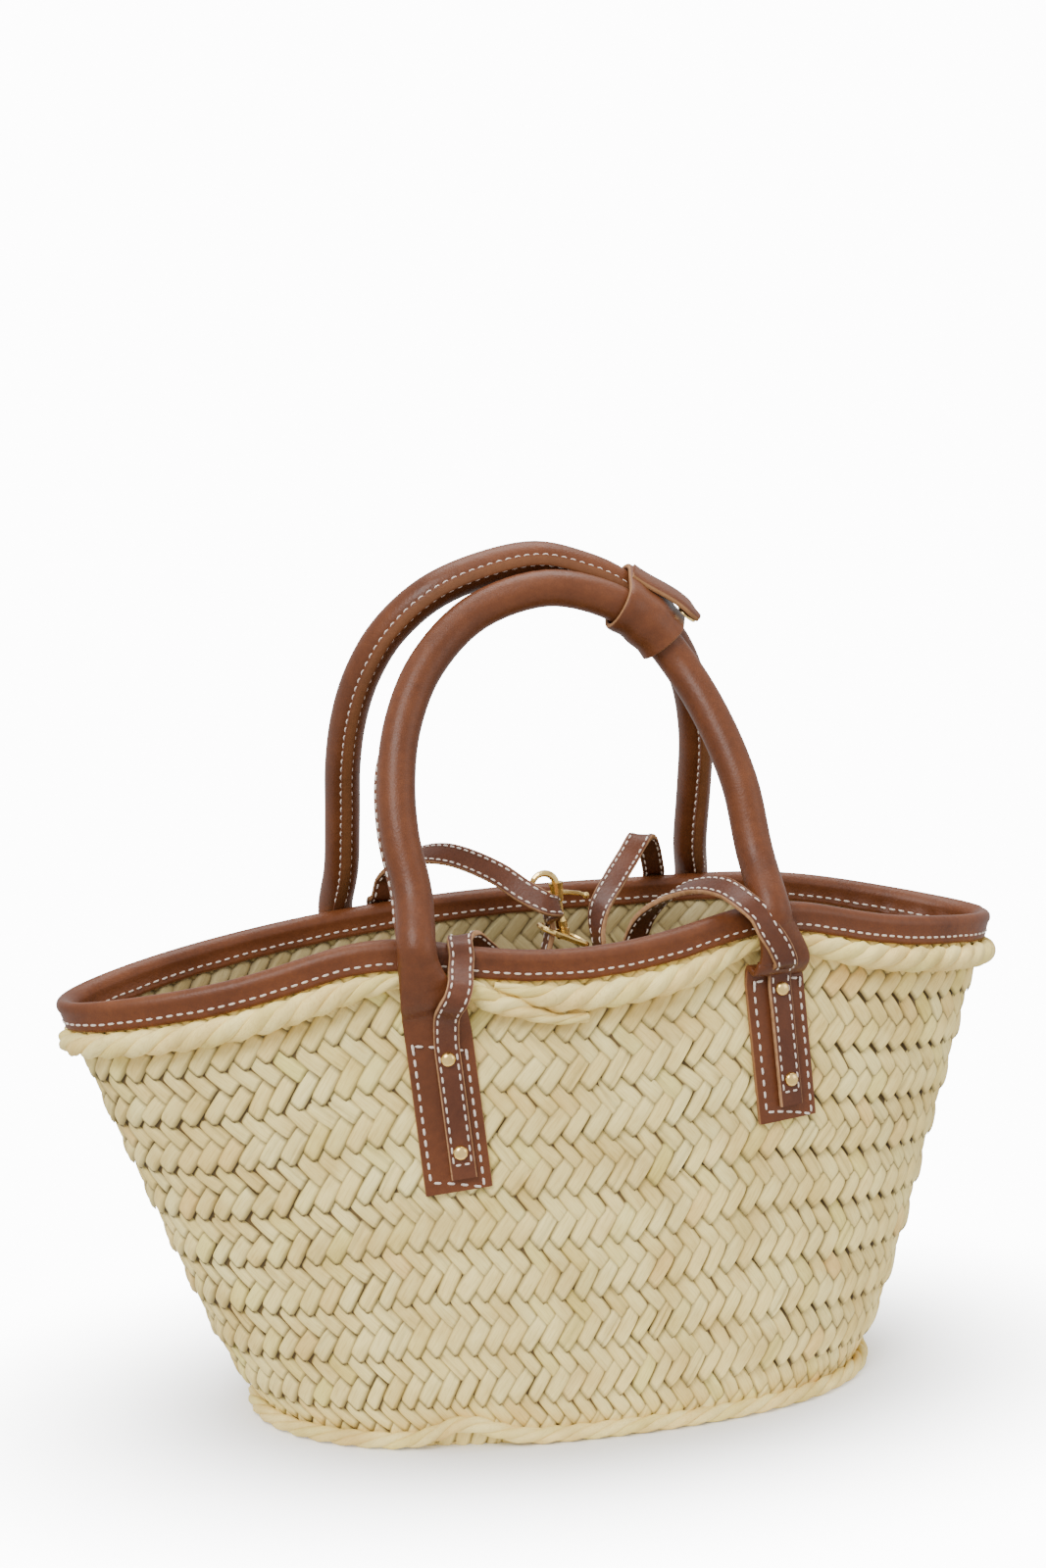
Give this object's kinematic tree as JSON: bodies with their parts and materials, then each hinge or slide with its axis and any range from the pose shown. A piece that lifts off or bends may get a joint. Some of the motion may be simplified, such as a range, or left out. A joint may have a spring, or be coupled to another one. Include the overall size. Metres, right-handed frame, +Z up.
{
  "type": "straw basket bag",
  "caption": "Woven straw basket bag with rolled leather handles, a leather-bound rim and a swivel snap clasp between crossing straps.",
  "frame": {"origin": "on the floor under the basket's middle, on the underside of its bottom", "axes": "+X along the bag to the right as seen from its front, -Y out of its front, +Z up"},
  "size_m": [0.3502, 0.1408, 0.3011],
  "materials": {
    "straw": "matte woven palm leaf",
    "palm_rope": "matte twisted palm leaf",
    "leather": "smooth tanned leather, satin",
    "strap_leather": "smooth tanned leather with raw tan edges",
    "brass": "polished gold-coloured brass"
  },
  "bodies": {
    "bag": {"basket_body": "straw", "rim_cord": "palm_rope", "base_cord": "palm_rope", "rim_binding": "leather", "handle_front": "leather", "handle_back": "leather", "closure_strap_left": "strap_leather", "closure_strap_right": "strap_leather", "handle_keeper": "leather", "keeper_stud": "brass", "rivet_front_left_upper": "brass", "rivet_front_left_lower": "brass", "rivet_front_right_upper": "brass", "rivet_front_right_lower": "brass", "rivet_back_left_upper": "brass", "rivet_back_left_lower": "brass", "rivet_back_right_upper": "brass", "rivet_back_right_lower": "brass", "clasp_eye": "brass"},
    "hook": {"clasp_hook": "brass"},
    "lever": {"clasp_lever": "brass"}
  },
  "joints": [
    {"name": "clasp_swivel", "type": "hinge", "parent": "bag", "child": "hook", "pos_m": [0.0042, 0.015, 0.1595], "axis": [-0.1392, 0, 0.9903], "range_deg": [-70, 10]},
    {"name": "clasp_lever", "type": "hinge", "parent": "hook", "child": "lever", "pos_m": [0.00197, 0.015, 0.17534], "axis": [0, 1, 0], "range_deg": [-25, 0], "stiffness_Nm_per_rad": 0.01}
  ]
}
